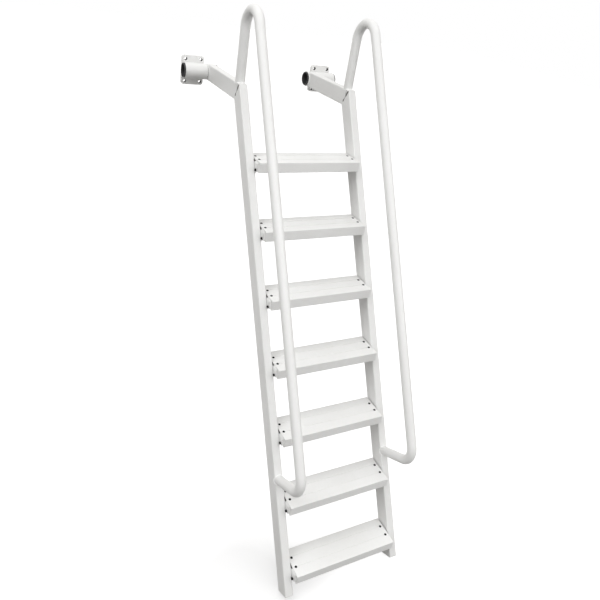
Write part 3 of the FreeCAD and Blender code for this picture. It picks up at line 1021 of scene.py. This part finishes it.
def mix_by_ray(tree, light, seen, output):
    """Send one shader to lit surfaces, and the other to rays that see the studio itself."""
    path = tree.nodes.new("ShaderNodeLightPath")
    mask = math_node(tree, "MAXIMUM", path.outputs["Is Camera Ray"], path.outputs["Is Glossy Ray"])
    mask = math_node(tree, "MAXIMUM", mask, path.outputs["Is Transmission Ray"])
    mix = tree.nodes.new("ShaderNodeMixShader")
    tree.links.new(mask, mix.inputs["Fac"])
    tree.links.new(light.outputs[0], mix.inputs[1])
    tree.links.new(seen.outputs[0], mix.inputs[2])
    tree.links.new(mix.outputs[0], output.inputs["Surface"])


def make_world(settings):
    world = bpy.data.worlds.new("studio")
    world.use_nodes = True
    bpy.context.scene.world = world
    tree = world.node_tree
    tree.nodes.clear()
    output = tree.nodes.new("ShaderNodeOutputWorld")
    axes = split_xyz(tree, coordinates(tree, "Generated"))
    towards = {axis: math_node(tree, "MAXIMUM", axes[axis], 0.0) for axis in "XYZ"}
    right = math_node(tree, "MULTIPLY", towards["X"], settings.right_wall)
    back = math_node(tree, "MULTIPLY", towards["Y"], settings.back_wall)
    above = math_node(tree, "MULTIPLY", towards["Z"], settings.zenith)
    level = math_node(tree, "ADD", above, math_node(tree, "ADD", right, back))
    light = tree.nodes.new("ShaderNodeBackground")
    tree.links.new(mix_colour(tree, towards["Z"], WARM_HORIZON, WHITE), light.inputs["Color"])
    tree.links.new(math_node(tree, "ADD", level, settings.surround), light.inputs["Strength"])
    seen = tree.nodes.new("ShaderNodeBackground")
    seen.inputs["Color"].default_value = (*WHITE, 1.0)
    mix_by_ray(tree, light, seen, output)


def make_lamp(settings, side):
    """Large soft square lamp that faces the middle of the ladder."""
    data = bpy.data.lights.new(side + "_lamp", "AREA")
    data.size = settings.lamp_size
    data.energy = getattr(settings, side + "_power")
    data.color = settings.lamp_colour
    lamp = bpy.data.objects.new(side + "_lamp", data)
    bpy.context.scene.collection.objects.link(lamp)
    place = Vector(getattr(settings, side + "_place"))
    lamp.location = TOP_CORNER + place
    lamp.rotation_euler = (Vector(settings.lamp_aim) - place).to_track_quat("-Z", "Y").to_euler()


def make_floor(settings):
    deselect_all()
    bpy.ops.mesh.primitive_plane_add(size=settings.floor_size, location=(0.0, 0.0, CAD_BOX[0].z))
    floor = bpy.context.active_object
    floor.name = "studio_floor"
    material = bpy.data.materials.new("studio_floor")
    material.use_nodes = True
    tree = material.node_tree
    tree.nodes.clear()
    output = tree.nodes.new("ShaderNodeOutputMaterial")
    bounce = tree.nodes.new("ShaderNodeBsdfDiffuse")
    tinted = [settings.floor_bounce * tint for tint in BOUNCE_TINT]
    bounce.inputs["Color"].default_value = (*tinted, 1.0)
    seen = tree.nodes.new("ShaderNodeBsdfDiffuse")
    seen.inputs["Color"].default_value = (*FLOOR_COLOUR, 1.0)
    axes = split_xyz(tree, coordinates(tree))
    beside = LOW_TREAD[0].x - settings.shadow_aside
    away = flat_distance(tree, away_from(tree, axes["X"], beside),
                         away_from(tree, axes["Y"], LOW_TREAD[1].y))
    lift = tree.nodes.new("ShaderNodeEmission")
    strength = map_range(tree, away, (settings.shadow_reach, SHADOW_FADE * settings.shadow_reach),
                         (settings.near_lift, settings.floor_lift))
    tree.links.new(strength, lift.inputs["Strength"])
    both = tree.nodes.new("ShaderNodeAddShader")
    tree.links.new(seen.outputs[0], both.inputs[0])
    tree.links.new(lift.outputs[0], both.inputs[1])
    mix_by_ray(tree, bounce, both, output)
    floor.data.materials.append(material)


class LADDER_OT_stage(bpy.types.Operator):
    """Set the camera, the pale floor, the studio's light and the view settings"""
    bl_idname = "ladder.stage"
    bl_label = "Set the studio"

    def execute(self, context):
        settings = context.scene.ladder_stage
        make_camera(settings)
        make_world(settings)
        for side in ("front", "left", "right", "fill"):
            make_lamp(settings, side)
        make_floor(settings)
        context.scene.view_settings.view_transform = "Standard"
        return {"FINISHED"}


class LADDER_PT_sidebar(bpy.types.Panel):
    """Lists the steps that finish the ladder."""
    bl_idname = "LADDER_PT_sidebar"
    bl_label = "Dock ladder"
    bl_space_type = "VIEW_3D"
    bl_region_type = "UI"
    bl_category = "Dock ladder"

    def draw(self, context):
        for operator in OPERATORS:
            self.layout.operator(operator.bl_idname)
        for label in SETTINGS:
            group = getattr(context.scene, label)
            box = self.layout.box()
            for name in group.__annotations__:
                box.prop(group, name)


OPERATORS = (LADDER_OT_stage, LADDER_OT_coat, LADDER_OT_screws, LADDER_OT_bolts, LADDER_OT_welds)
SETTINGS = {
    "ladder_coat": CoatSettings,
    "ladder_fasteners": FastenerSettings,
    "ladder_welds": WeldSettings,
    "ladder_stage": StageSettings,
}
CLASSES = (*SETTINGS.values(), *OPERATORS, LADDER_PT_sidebar)


def register():
    for item in CLASSES:
        bpy.utils.register_class(item)
    for label, group in SETTINGS.items():
        setattr(bpy.types.Scene, label, bpy.props.PointerProperty(type=group))


def unregister():
    for label in SETTINGS:
        delattr(bpy.types.Scene, label)
    for item in reversed(CLASSES):
        bpy.utils.unregister_class(item)


def main():
    register()
    bpy.ops.ladder.stage()
    bpy.ops.ladder.coat()
    bpy.ops.ladder.screws()
    bpy.ops.ladder.bolts()
    bpy.ops.ladder.welds()


if __name__ == "__main__":
    main()
